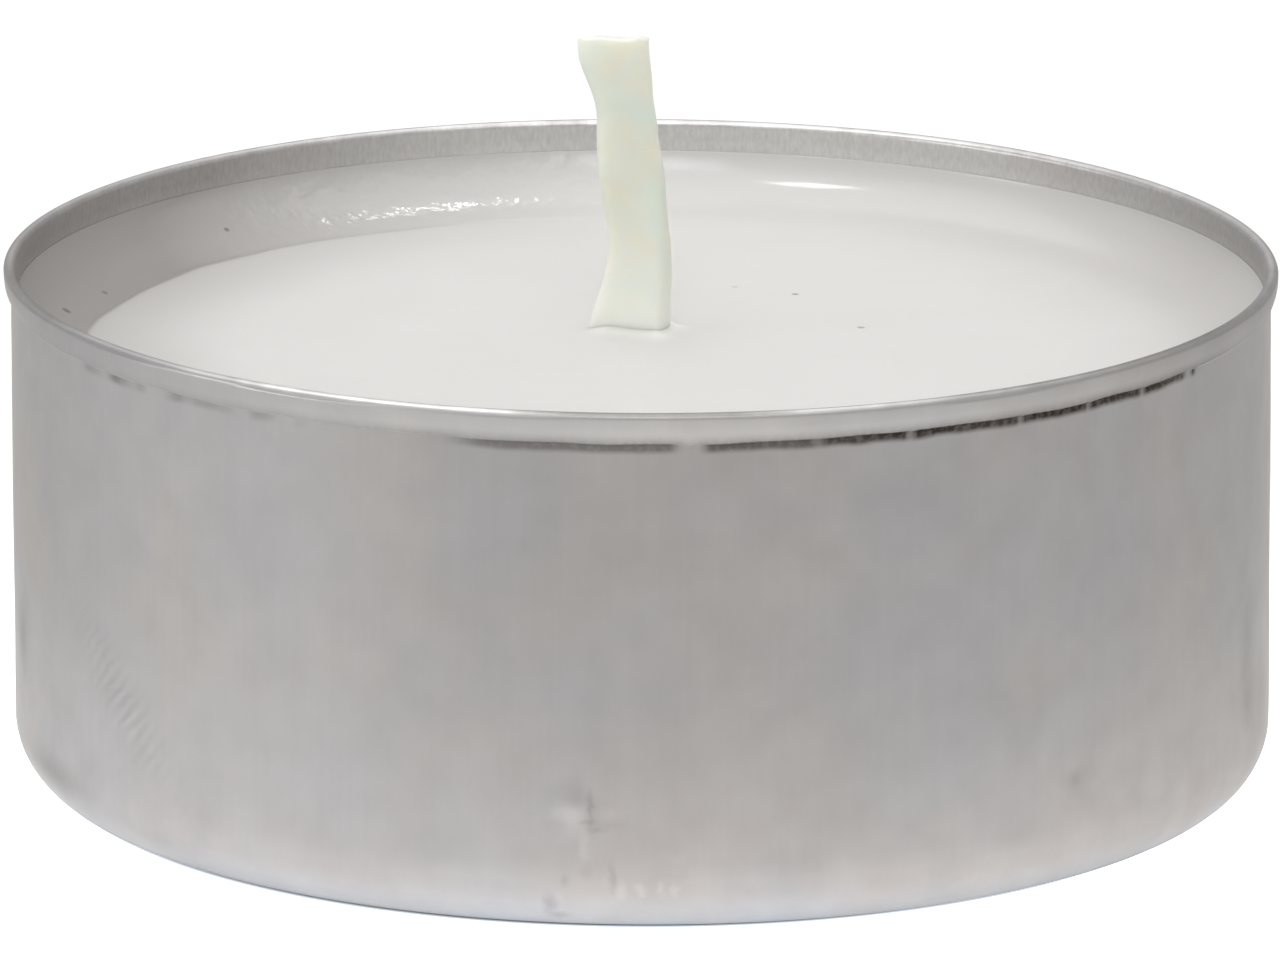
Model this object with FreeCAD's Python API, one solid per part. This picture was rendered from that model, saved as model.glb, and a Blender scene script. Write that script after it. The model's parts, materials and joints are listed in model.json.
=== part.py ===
import FreeCAD, Part
import math
import os

# Tea light candle: a drawn aluminium cup, poured wax, a flat braided wick and the steel sustainer
# that holds the wick's foot. Millimetres, +Z up. The origin is the centre of the cup's foot, on the
# plane that the candle stands on, and +Y points away from the side that is usually looked at.

# Cup, drawn from one round blank of thin sheet
SHEET = 0.15
CUP_HEIGHT = 16.0
WALL_RADIUS = 19.02        # outside of the straight wall, which a candle holder closes round
CORNER_RADIUS = 2.2        # outside of the bend between the bottom and the wall
PANEL_RADIUS = 14.0        # middle of the bottom, raised so that the cup stands on a ring
PANEL_RISE = 0.5
PANEL_STEP = 0.8           # run of the slope from the panel down to the ring
PANEL_BEND = 0.35          # centre-line radius of the two bends of that slope
HEM_HEIGHT = 0.93          # rim folded outwards and pressed down on the wall
HEM_GAP = 0.07             # air between the wall and the fold, just under the rim
HEM_FOOT_GAP = 0.02        # air left at the fold's raw edge
CREASE_RADIUS = 0.05       # an inner bend as tight as this is pressed to a sharp crease

# Wax, poured into the cup and set
WAX_BELOW_RIM = 2.6
FILM_BELOW_RIM = 0.9       # how far under the rim the wax ends where it climbs the wall
FILM_ANGLE = 14            # degrees between the wall and the wax that climbs it
COLLAR_HEIGHT = 0.5        # wax drawn up round the wick
COLLAR_WIDTH = 0.75

# Wick, a flat cotton braid soaked in wax
WICK_WIDTH = 1.85
WICK_DEPTH = 1.25
WICK_CHAMFER = 0.3         # the braid is pressed flat, with its four edges bevelled
WICK_ABOVE_RIM = 6.2
WICK_EXIT_X = -0.1         # middle of the wick where it leaves the wax
WICK_EXIT_Y = 2.0
WICK_TIP_X = -0.88         # middle of the cut end, which leans to the left
WICK_TIP_RISE = 0.12       # the cut climbs this much from its left side to its right
WICK_TIP_SPREAD = 0.28     # the braid opens by this much at the cut

# Sustainer, a pressed steel disc with a drawn neck
DISC_RADIUS = 6.3
SUSTAINER_SHEET = 0.2
NECK_HEIGHT = 3.0
NECK_ROOT_RADIUS = 0.4

HALF_SHEET = SHEET / 2
FLOOR = PANEL_RISE + SHEET
WALL_LINE = WALL_RADIUS - HALF_SHEET
CAVITY_RADIUS = WALL_RADIUS - SHEET
WAX_LEVEL = CUP_HEIGHT - WAX_BELOW_RIM
WAX_TOP = CUP_HEIGHT - FILM_BELOW_RIM
NECK_TOP = FLOOR + NECK_HEIGHT
WICK_TOP = CUP_HEIGHT + WICK_ABOVE_RIM
AXIS_FOOT = FreeCAD.Vector(0, 0, 0)
UP = FreeCAD.Vector(0, 0, 1)


def at(radius, height):
    """A point of the section plane, which holds the axis."""
    return FreeCAD.Vector(radius, 0, height)


def directions(corners):
    """Unit vectors along the legs between the corners."""
    return [(end - start).normalize() for start, end in zip(corners, corners[1:])]


def to_left(direction):
    """The unit vector square to a leg, on its left."""
    return FreeCAD.Vector(-direction.z, 0, direction.x)


def beside(corners, distance):
    """The same run of legs, each moved to its left by a distance."""
    sides = [to_left(direction) for direction in directions(corners)]
    moved = [corners[0] + sides[0] * distance]
    for corner, before, after in zip(corners[1:-1], sides, sides[1:]):
        mitre = (before + after) * (1 / (1 + before.dot(after)))
        moved.append(corner + mitre * distance)
    moved.append(corners[-1] + sides[-1] * distance)
    return moved


def rounded(corners, radii):
    """Edges along the legs, with each inner corner turned by an arc of its own radius."""
    edges = []
    legs = directions(corners)
    start = corners[0]
    for corner, radius, before, after in zip(corners[1:-1], radii, legs, legs[1:]):
        if radius <= CREASE_RADIUS:
            edges += straight(start, corner)
            start = corner
            continue
        half_turn = before.getAngle(after) / 2
        setback = radius * math.tan(half_turn)
        enter = corner - before * setback
        leave = corner + after * setback
        inwards = (after - before).normalize()
        middle = corner + inwards * (radius / math.cos(half_turn) - radius)
        edges += straight(start, enter)
        edges.append(Part.Arc(enter, middle, leave).toShape())
        start = leave
    return edges + straight(start, corners[-1])


def straight(start, end):
    """A straight edge, or none where one bend follows straight on another."""
    if start.distanceToPoint(end) < 1e-6:
        return []
    return [Part.makeLine(start, end)]


def face_of_sheet(corners, radii, distance):
    """Edges of one face of a bent sheet, which lies a distance to the left of its centre line."""
    legs = directions(corners)
    own_radii = []
    for radius, before, after in zip(radii, legs, legs[1:]):
        turns_left = to_left(before).dot(after) > 0
        own_radii.append(radius - distance if turns_left else radius + distance)
    return rounded(beside(corners, distance), own_radii)


def turned(edges):
    """The solid that a closed section sweeps as it turns once about the axis."""
    return Part.Face(Part.Wire(edges)).revolve(AXIS_FOOT, UP, 360)


def bottom_line():
    """Centre line of the cup's bottom, from the axis to the corner below the wall."""
    return [
        at(0, PANEL_RISE + HALF_SHEET),
        at(PANEL_RADIUS, PANEL_RISE + HALF_SHEET),
        at(PANEL_RADIUS + PANEL_STEP, HALF_SHEET),
        at(WALL_LINE, HALF_SHEET),
    ]


def bottom_bends():
    return [PANEL_BEND, PANEL_BEND, CORNER_RADIUS - HALF_SHEET]


def hem_line(fold_radius):
    """Centre line of the rim's fold: over the top, then down and in to the raw edge on the wall."""
    crest = CUP_HEIGHT - HALF_SHEET
    centre = at(WALL_LINE + fold_radius, crest - fold_radius)
    raw_edge = at(WALL_RADIUS + HEM_FOOT_GAP + HALF_SHEET, CUP_HEIGHT - HEM_HEIGHT)
    to_edge = raw_edge - centre
    turn = math.atan2(to_edge.z, to_edge.x) + math.acos(fold_radius / to_edge.Length)
    leave = centre + at(math.cos(turn), math.sin(turn)) * fold_radius
    climb = (crest - raw_edge.z) / (leave.z - raw_edge.z)
    return [at(WALL_LINE, crest), raw_edge + (leave - raw_edge) * climb, raw_edge]


def aluminium_cup():
    """Section of the drawn and folded sheet, turned about the axis."""
    fold_radius = (SHEET + HEM_GAP) / 2
    corners = bottom_line() + hem_line(fold_radius)
    radii = bottom_bends() + [fold_radius, fold_radius]
    inside = face_of_sheet(corners, radii, HALF_SHEET)
    outside = face_of_sheet(corners, radii, -HALF_SHEET)
    raw_edge = straight(inside[-1].Vertexes[-1].Point, outside[-1].Vertexes[-1].Point)
    on_axis = straight(outside[0].Vertexes[0].Point, inside[0].Vertexes[0].Point)
    return turned(inside + raw_edge + outside[::-1] + on_axis)


def meniscus():
    """The hollow arc that leaves the wall at the film's angle and runs out level."""
    turn = math.radians(90 - FILM_ANGLE)
    radius = (WAX_TOP - WAX_LEVEL) / (1 - math.cos(turn))
    centre = at(CAVITY_RADIUS - radius * math.sin(turn), WAX_LEVEL + radius)
    half_way = centre + at(math.sin(turn / 2), -math.cos(turn / 2)) * radius
    return Part.Arc(at(CAVITY_RADIUS, WAX_TOP), half_way, centre - UP * radius)


def poured_wax():
    """What fills the cup: its inner face up to the film's edge, the meniscus and the level."""
    corners = bottom_line() + [at(WALL_LINE, WAX_TOP)]
    inside = face_of_sheet(corners, bottom_bends(), HALF_SHEET)
    climb = meniscus()
    middle = at(0, WAX_LEVEL)
    level = straight(climb.EndPoint, middle)
    return turned(inside + [climb.toShape()] + level + straight(middle, at(0, FLOOR)))


def braid_outline(x, y, z, width=WICK_WIDTH, margin=0):
    """Outline of the flat braid across its run, or of what lies a margin outside it."""
    half_width = width / 2 + margin
    half_depth = WICK_DEPTH / 2 + margin
    cut = WICK_CHAMFER + margin * (2 - math.sqrt(2))
    corners = []
    for side, face in ((1, 1), (-1, 1), (-1, -1), (1, -1)):
        on_side = FreeCAD.Vector(x + side * half_width, y + face * (half_depth - cut), z)
        on_face = FreeCAD.Vector(x + side * (half_width - cut), y + face * half_depth, z)
        corners += [on_side, on_face] if side == face else [on_face, on_side]
    return Part.makePolygon(corners + corners[:1])


def wick_foot():
    """The straight length of braid that the sustainer's neck grips."""
    return Part.Face(braid_outline(0, 0, FLOOR)).extrude(UP * NECK_HEIGHT)


def buried_outlines():
    """From the neck, the braid drifts to the place where it leaves the wax."""
    outlines = []
    for share in (0, 0.35, 0.7):
        drift = (1 - math.cos(math.pi * share)) / 2
        height = NECK_TOP + (WAX_LEVEL - NECK_TOP) * share
        outlines.append(braid_outline(WICK_EXIT_X * drift, WICK_EXIT_Y * drift, height))
    return outlines


def free_outlines():
    """Above the wax, the braid leans more and more to the left and opens at its cut end."""
    outlines = []
    for share in (0, 0.3, 0.6, 0.85, 1):
        x = WICK_EXIT_X + (WICK_TIP_X - WICK_EXIT_X) * share ** 2
        height = WAX_LEVEL + (WICK_TOP - WAX_LEVEL) * share
        width = WICK_WIDTH + WICK_TIP_SPREAD * share ** 6
        outlines.append(braid_outline(x, WICK_EXIT_Y, height, width))
    cut_angle = math.degrees(math.atan(WICK_TIP_RISE / WICK_WIDTH))
    cut_middle = FreeCAD.Vector(WICK_TIP_X, WICK_EXIT_Y, WICK_TOP)
    outlines[-1].rotate(cut_middle, FreeCAD.Vector(0, -1, 0), cut_angle)
    return outlines


def wick():
    run = Part.makeLoft(buried_outlines() + free_outlines(), True)
    return wick_foot().fuse(run)


def wick_sustainer():
    """Disc and neck pressed from one blank, with the bore that grips the braid's foot."""
    disc = Part.makeCylinder(DISC_RADIUS, SUSTAINER_SHEET, at(0, FLOOR))
    neck = Part.Face(braid_outline(0, 0, FLOOR, margin=SUSTAINER_SHEET)).extrude(UP * NECK_HEIGHT)
    blank = disc.fuse(neck)
    disc_top = FLOOR + SUSTAINER_SHEET
    root = []
    for edge in blank.Edges:
        flat = all(abs(end.Z - disc_top) < 1e-6 for end in edge.Vertexes)
        if flat and len(edge.Vertexes) == 2:
            root.append(edge)
    return blank.makeFillet(NECK_ROOT_RADIUS, root).cut(wick_foot())


def wick_collar():
    """Wax drawn up round the wick in a hollow curve, with its foot under the surface."""
    steps = (15, 35, 55, 75)
    margins = [COLLAR_WIDTH * (1 - math.sin(math.radians(step))) for step in steps]
    rises = [COLLAR_HEIGHT * (1 - math.cos(math.radians(step))) for step in steps]
    margins.insert(0, margins[0])
    rises.insert(0, -COLLAR_HEIGHT)
    outlines = []
    for margin, rise in zip(margins, rises):
        outlines.append(braid_outline(WICK_EXIT_X, WICK_EXIT_Y, WAX_LEVEL + rise, margin=margin))
    return Part.makeLoft(outlines, True, True)


def paraffin_wax(held):
    """The pour with its collar, less what stands in it."""
    return poured_wax().fuse(wick_collar()).cut(held)


os.makedirs("parts", exist_ok=True)
braid = wick()
sustainer = wick_sustainer()
nodes = {
    "aluminium_cup": aluminium_cup(),
    "paraffin_wax": paraffin_wax([braid, sustainer]),
    "wick": braid,
    "wick_sustainer": sustainer,
}
for name, shape in nodes.items():
    shape.exportStep(f"parts/{name}.step")
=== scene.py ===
# %% [markdown]
# # A tea light candle
# A tea light is four pieces: a cup drawn from thin aluminium, a pour of paraffin wax, a flat cotton wick
# and a small steel tab that holds the wick's foot. Their solids are already made, at their real sizes.
# This lesson loads them as a frame that never moves, and then models the surfaces that the eye sees:
# the folded rim, the drawn wall with its marks, the wax that climbs the wall, and the waxed braid.

import json
import math

import bpy
import numpy as np
from mathutils import Matrix, Vector


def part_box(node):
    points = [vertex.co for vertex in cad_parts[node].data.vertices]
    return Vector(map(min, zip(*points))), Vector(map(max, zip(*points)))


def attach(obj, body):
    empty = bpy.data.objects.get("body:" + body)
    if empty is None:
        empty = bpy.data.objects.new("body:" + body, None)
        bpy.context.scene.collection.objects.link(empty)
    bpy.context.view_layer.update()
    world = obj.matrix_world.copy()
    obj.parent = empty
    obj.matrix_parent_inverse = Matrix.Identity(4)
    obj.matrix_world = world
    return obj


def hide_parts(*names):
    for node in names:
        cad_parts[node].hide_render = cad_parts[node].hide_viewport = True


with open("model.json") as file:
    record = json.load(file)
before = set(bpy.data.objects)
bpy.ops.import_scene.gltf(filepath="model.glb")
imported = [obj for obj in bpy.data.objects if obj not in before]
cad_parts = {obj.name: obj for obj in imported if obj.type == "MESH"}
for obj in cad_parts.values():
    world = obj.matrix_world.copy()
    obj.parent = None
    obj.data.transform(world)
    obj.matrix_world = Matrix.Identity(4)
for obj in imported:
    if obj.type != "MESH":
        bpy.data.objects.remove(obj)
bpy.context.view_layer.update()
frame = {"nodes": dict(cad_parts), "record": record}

# %% [markdown]
# ## Work in millimetres, build in metres
# Blender's unit here is the metre, but a candle is thought of in millimetres. So every size below is in
# millimetres unless a comment says otherwise. The sizes that the solids already have are read from the
# frame, so that the dressed candle can't drift away from them.

# %% Sizes that the frame gives
MM = 0.001
_, cup_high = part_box("aluminium_cup")
_, wax_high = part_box("paraffin_wax")
wick_low, wick_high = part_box("wick")
mounts = {mount["name"]: mount for mount in frame["record"]["mounts"]}

CUP_HEIGHT = cup_high.z / MM
RIM_RADIUS = cup_high.x / MM
WALL_RADIUS = mounts["holder_fit"]["dims"]["r_mm"]
FILM_TOP = wax_high.z / MM
WICK_FOOT = wick_low.z / MM
WICK_TOP = wick_high.z / MM
print("cup", round(CUP_HEIGHT, 2), "high, rim", round(RIM_RADIUS, 2), "wall", WALL_RADIUS)

# %% [markdown]
# ## A mesh from rings
# The cup, the wax and the wick are all round in some way, so one function serves all three: it joins
# rings of points with quads and closes both ends with a fan. A second one paints a number on each point,
# which a material reads later by its name, so that stains and painted light and shade can follow the
# shape without an image.

# %% A mesh from rings of points
def ring_mesh(name, rings, first, last):
    """A closed mesh of rings of points in millimetres, capped by a fan to one point at each end."""
    rows, columns, _ = rings.shape
    points = np.vstack([rings.reshape(-1, 3), [first, last]]) * MM
    here = np.arange(rows * columns).reshape(rows, columns)
    beside = np.roll(here, -1, axis=1)
    quads = np.stack([here[:-1], beside[:-1], beside[1:], here[1:]], axis=-1).reshape(-1, 4)
    start, end = rows * columns, rows * columns + 1
    fans = [(start, b, a) for a, b in zip(here[0], beside[0])]
    fans += [(end, a, b) for a, b in zip(here[-1], beside[-1])]
    mesh = bpy.data.meshes.new(name)
    mesh.from_pydata(points.tolist(), [], quads.tolist() + fans)
    mesh.validate()
    mesh.shade_smooth()
    piece = bpy.data.objects.new(name, mesh)
    bpy.context.scene.collection.objects.link(piece)
    print(name, "has", 2 * len(quads) + len(fans), "triangles")
    return piece


def paint(piece, name, values):
    """Keeps one number for each point of the mesh, which a material can read by name."""
    layer = piece.data.attributes.new(name, "FLOAT", "POINT")
    layer.data.foreach_set("value", np.append(values.ravel(), [0, 0]).astype(np.float32))
    print(name, "from", values.min().round(2), "to", values.max().round(2))


# %% [markdown]
# ## Smooth, repeatable unevenness
# Nothing on a pressed foil cup is perfectly even. The unevenness here is a sum of waves whose sizes and
# phases come from a seeded generator, so it is the same each time the script runs. Marks that have a
# place of their own, such as a dent, are soft spots at a given angle and height. Angles run round the
# cup from 0 at the front to 90 degrees on the right and -90 on the left.

# %% Waves, spots, steps and bends
def waves(angle, height, seed, longest, shortest, count=24):
    """A smooth random relief of about -1 to 1 over the cup's wall, from waves of those lengths in mm."""
    random = np.random.default_rng(seed)
    total = np.zeros(np.broadcast(angle, height).shape)
    for _ in range(count):
        length = shortest * (longest / shortest) ** random.random()
        heading = random.uniform(0, math.pi)
        around = round(2 * math.pi * WALL_RADIUS / length * math.cos(heading))
        upwards = 2 * math.pi / length * math.sin(heading)
        total += np.cos(around * angle + upwards * height + random.uniform(0, 2 * math.pi))
    return total / math.sqrt(count)


def half_turn(angle):
    """The same angle in radians, brought between minus and plus half a turn."""
    return (angle + math.pi) % (2 * math.pi) - math.pi


def spot(angle, height, degrees, at_height, width, tall):
    """A soft round spot on the wall, 1 at its middle."""
    apart = half_turn(angle - math.radians(degrees))
    return np.exp(-(apart * WALL_RADIUS / width) ** 2 - ((height - at_height) / tall) ** 2)


def facing(angle, degrees, spread):
    """1 where the angle round the cup faces that way, fading to 0 over a spread in degrees."""
    apart = np.abs(half_turn(angle - math.radians(degrees)))
    return 1 - step(np.degrees(apart), spread * 0.5, spread)


def step(value, start, end):
    """0 before start, 1 after end and a smooth rise between."""
    share = np.clip((value - start) / (end - start), 0, 1)
    return share * share * (3 - 2 * share)


def arc(radius, height, bend, start, end, count):
    """Points of a round bend in the section, as (radius, height), between two angles in degrees."""
    angles = np.radians(np.linspace(start, end, count))
    return [(radius + bend * math.cos(a), height + bend * math.sin(a)) for a in angles]


# %% [markdown]
# ## The camera
# A long lens far away flattens an object, as in the photograph of a catalogue. The camera stands 550 mm
# off and looks down by about 14 degrees, found by fitting the rim's and the foot's ellipses.

# %% The camera
CAMERA_DISTANCE = 0.550  # metres
CAMERA_HEIGHT_ANGLE = math.radians(14.39)
CAMERA_PITCH = math.radians(14.17)
CAMERA_ROLL = math.radians(-0.25)
AIM_HEIGHT = 0.007  # metres
LENS = 510.3
SENSOR_WIDTH = 36

camera = bpy.data.objects.new("camera", bpy.data.cameras.new("camera"))
camera.data.lens = LENS
camera.data.sensor_width = SENSOR_WIDTH
look = np.array([0, math.cos(CAMERA_PITCH), -math.sin(CAMERA_PITCH)])
level_up = np.array([0, math.sin(CAMERA_PITCH), math.cos(CAMERA_PITCH)])
level_right = np.array([1, 0, 0])
roll_cos, roll_sin = math.cos(CAMERA_ROLL), math.sin(CAMERA_ROLL)
right = roll_cos * level_right - roll_sin * level_up
up = roll_sin * level_right + roll_cos * level_up
stand = np.array([
    0,
    -CAMERA_DISTANCE * math.cos(CAMERA_HEIGHT_ANGLE),
    CAMERA_DISTANCE * math.sin(CAMERA_HEIGHT_ANGLE) + AIM_HEIGHT,
])
turned = np.array([right, up, -look]).T
camera.matrix_world = Matrix([(*row, along) for row, along in zip(turned, stand)] + [(0, 0, 0, 1)])
bpy.context.scene.collection.objects.link(camera)
bpy.context.scene.camera = camera
print("camera at", stand.round(4))

# %% [markdown]
# ## The cup's section
# The real cup starts as a flat round blank. A press draws it into a cup, and a last tool folds its edge
# outwards and down on the wall. So the cup is one sheet of the same thickness all round, and its section
# is one line with a left and a right face. Turning that section about the axis gives the cup. It is
# built ring by ring and not with a Screw modifier, because each stretch then gets its own unevenness.
# The rings have more points at the front. This cup stands a hair askew, so they shift left as they rise.

# %% Sizes of the sheet
SHEET = 0.15
CORNER_RADIUS = 2.1
PANEL_RISE = 0.5
PANEL_RADIUS = 14.0
HEM_EDGE = 15.07
CREST_RADIUS = (RIM_RADIUS - WALL_RADIUS + SHEET) / 2
CREST_HEIGHT = CUP_HEIGHT - CREST_RADIUS
CREST_LINE = RIM_RADIUS - CREST_RADIUS
INNER_RADIUS = WALL_RADIUS - SHEET
FOOT_LINE = WALL_RADIUS - CORNER_RADIUS
LEAN = 0.007  # the rim sits that share of the height to the left of the foot

FRONT = math.radians(80)
front = np.linspace(-FRONT, FRONT, 500, endpoint=False)
back = np.linspace(FRONT, 2 * math.pi - FRONT, 260, endpoint=False)
turn = half_turn(np.concatenate([front, back]))
degrees = np.degrees(turn)
SEGMENTS = len(turn)


def rings_of(radii, heights):
    """Rings of points, from the radius and height at each angle round the cup."""
    radii, heights = np.broadcast_arrays(radii, heights)
    around = np.broadcast_to(turn, radii.shape)
    across = radii * np.sin(around) + LEAN * (CUP_HEIGHT - heights)
    return np.stack([across, -radii * np.cos(around), heights], axis=-1)


def plain_rings(section):
    """Rings of one radius and height all the way round, for a list of section points."""
    radii, heights = np.array(section).T
    even = np.ones((1, SEGMENTS))
    return radii[:, None] * even, heights[:, None] * even


def around_cup(table):
    """Amounts given at a few angles in degrees, read off at each angle round the cup."""
    angles, amounts = np.array(table).T
    return np.interp(degrees, angles, amounts)


print("each ring has", SEGMENTS, "points, the crest's radius is", round(CREST_RADIUS, 3))

# %% [markdown]
# ## What happened to the wall
# Drawing leaves the wall a little wavy, and handling leaves marks. The largest ones here are a small
# star-shaped dent low on the front, a nick in the corner below it, a patch of short slanting ripples
# low on the left, and a row of tiny dents above the foot. They are pushed into the mesh and not only
# painted as bumps, so that they stay in an exported model.

# %% Relief of the wall
WAVINESS = 0.009
FINE_WAVINESS = 0.0015
RIPPLE_DEPTH = 0.006
RIPPLE_UP = 5.5  # radians for each millimetre upwards
RIPPLE_ACROSS = 7.5  # radians for each millimetre round the wall
RIPPLE_PATCH = (-54, 5.0, 2.0, 1.8)
PINCH_DEPTH = 0.030
DENTS = [  # out from the wall, degrees, height, width, tallness
    (-0.030, -4.4, 4.3, 0.26, 0.50), (0.045, -5.9, 4.0, 0.45, 0.42), (0.035, -4.6, 3.1, 0.16, 0.50),
    (-0.020, -6.9, 3.75, 0.40, 0.12), (-0.020, -2.9, 3.65, 0.45, 0.12), (-0.070, -7.9, 1.05, 0.22, 0.30),
    (-0.020, -75, 5.0, 1.0, 1.6), (-0.020, 74, 5.0, 1.0, 1.8), (0.010, 40, 12.4, 1.9, 0.12),
    (-0.012, 42.2, 3.9, 0.5, 0.3), (-0.010, -34.9, 8.3, 0.35, 0.25),
]


def wall_relief(angle, height):
    """How far the wall stands out from its true radius, in millimetres."""
    relief = WAVINESS * waves(angle, height, seed=3, longest=12, shortest=5)
    relief += FINE_WAVINESS * waves(angle, height, seed=4, longest=3, shortest=1.2, count=40)
    bent = 1.5 * waves(angle, height, seed=5, longest=6, shortest=3)
    slanting = np.sin(height * RIPPLE_UP - angle * WALL_RADIUS * RIPPLE_ACROSS + bent)
    relief += RIPPLE_DEPTH * slanting * spot(angle, height, *RIPPLE_PATCH)
    for depth, *where in DENTS:
        relief += depth * spot(angle, height, *where)
    for at in np.linspace(-2.3, 3.6, 9):
        relief -= PINCH_DEPTH * spot(angle, height, at, 2.1 + 0.12 * math.sin(at * 9), 0.09, 0.22)
    return relief * step(height, 0.1, 1.2) * (1 - step(height, 14.2, 14.9))


# %% [markdown]
# ## Underside and wall
# A cup that stood on its whole bottom would rock, so the middle is raised and the cup stands on a ring.
# The section's points lie closest in the bends and where the wall has its marks.

# %% Rings of the underside and the wall
SLOPE_START = PANEL_RADIUS - 0.1
SLOPE_RUN = 1.1

under = [(radius, PANEL_RISE) for radius in (3, 7, 10.5, 13)]
under += [(SLOPE_START + SLOPE_RUN * s, PANEL_RISE * (1 - step(s, 0, 1))) for s in np.linspace(0, 1, 8)]
under += [(15.6, 0), (16.3, 0)]

corner = arc(FOOT_LINE, CORNER_RADIUS, CORNER_RADIUS, -90, -4, 15)
corner_radii, corner_heights = plain_rings(corner)
tilt = np.arctan2(corner_heights - CORNER_RADIUS, corner_radii - FOOT_LINE)
push = wall_relief(turn, corner_heights)
corner_radii = corner_radii + push * np.cos(tilt)
corner_heights = corner_heights + push * np.sin(tilt)

levels = np.concatenate([
    np.linspace(2.3, 5.5, 17), np.linspace(5.85, 14.5, 24), np.linspace(14.68, 15.02, 12),
])
wall_heights = levels[:, None] * np.ones((1, SEGMENTS))
wall_radii = WALL_RADIUS + wall_relief(turn, wall_heights)
relief_range = np.array([wall_radii.min(), wall_radii.max()]) - WALL_RADIUS
print("wall relief in mm:", relief_range.round(3))

# %% [markdown]
# ## The folded rim
# The fold lies flat on the wall, but its raw edge isn't trimmed true: it wanders, has a burr at the
# front and stands off the wall here and there. So its height and the gap are functions of the angle.
# The face swells out to the crest, a half circle, and the sheet then runs down inside the cup.

# %% Rings of the folded rim
EDGE_THICKNESS = 0.09  # the raw edge is squeezed thinner than the sheet
EDGE_BEND = 0.05
EDGE_WANDER = 0.018
EDGE_SIDE_RISE = 0.12  # the edge sits that much higher at the far left and right
BURR_AT = 4.4  # degrees
BURR_DROP = 0.10
BURR_WIDTH = 0.24
GAP = 0.035  # air between the wall and the fold
GAP_WANDER = 0.015
RIM_SWAY = 0.012
FACE_SWELL = 2.4  # power of the curve out to the rim's widest place

edge_line = HEM_EDGE + EDGE_WANDER * waves(turn, 0, seed=7, longest=9, shortest=1.5)
edge_line += EDGE_SIDE_RISE * np.abs(np.sin(turn)) ** 6
edge_line -= BURR_DROP * spot(turn, 0, BURR_AT, 0, BURR_WIDTH, 1)
stand_off = GAP + GAP_WANDER * waves(turn, 0, seed=8, longest=14, shortest=3)
sway = RIM_SWAY * waves(turn, 0, seed=9, longest=40, shortest=6)

raised = np.linspace(0, 1, 10)[:, None]
face_foot = edge_line + EDGE_BEND
face_heights = face_foot + (CREST_HEIGHT - face_foot) * raised
edge_radius = WALL_RADIUS + stand_off + EDGE_THICKNESS
face_radii = edge_radius + (RIM_RADIUS - edge_radius) * (1 - (1 - raised) ** FACE_SWELL)
face_radii = face_radii + 0.006 * waves(turn, face_heights, seed=10, longest=5, shortest=1) * (1 - raised)

bend = np.radians(np.linspace(-90, -18, 5))[:, None]
edge_radii = face_radii[0] - EDGE_BEND + EDGE_BEND * np.cos(bend)
edge_heights = edge_line + EDGE_BEND + EDGE_BEND * np.sin(bend)

off_wall = np.array([0.006, 0.03, 0.03])[:, None]
gap_share = np.array([0, 0.4, 0.9])[:, None]
behind_radii = WALL_RADIUS + off_wall + stand_off * gap_share
behind_heights = np.stack([np.full(SEGMENTS, 15.60), np.full(SEGMENTS, 15.55), edge_line + 0.02])

crest_angle = np.radians(np.linspace(8, 180, 12))[:, None]
crest_radii = CREST_LINE + CREST_RADIUS * np.cos(crest_angle) + np.minimum(sway, 0)
crest_heights = CREST_HEIGHT + CREST_RADIUS * np.sin(crest_angle) - 0.008 + 0.008 * np.cos(5 * turn)

inside = [(INNER_RADIUS, height) for height in (15.7, 15.55, 15.4, 15.25, 15.1, 14.95, 14.6, 13.0)]
inside += arc(FOOT_LINE, CORNER_RADIUS, CORNER_RADIUS - SHEET, 0, -90, 5)
inside += [(14.9, SHEET), (13.9, SHEET + PANEL_RISE), (7, SHEET + PANEL_RISE)]
print("raw edge from", edge_line.min().round(3), "to", edge_line.max().round(3), "mm high")

# %% [markdown]
# ## From section to cup
# The stretches follow one another along the sheet. Their rows are kept by name, for the painting below.

# %% Turn the section into the cup
STRETCHES = {
    "under": plain_rings(under),
    "corner": (corner_radii, corner_heights),
    "wall": (wall_radii, wall_heights),
    "behind": (behind_radii, behind_heights),
    "edge": (edge_radii, edge_heights),
    "face": (face_radii, face_heights),
    "crest": (crest_radii, crest_heights),
    "inside": plain_rings(inside),
}
cup_radii, cup_heights = (np.vstack(parts) for parts in zip(*STRETCHES.values()))
rows = {}
first_row = 0
for name, (radii, _) in STRETCHES.items():
    rows[name] = slice(first_row, first_row + len(radii))
    first_row += len(radii)

cup_rings = rings_of(cup_radii, cup_heights)
cup = ring_mesh("drawn_cup", cup_rings, (0, 0, PANEL_RISE), (0, 0, PANEL_RISE + SHEET))
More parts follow.
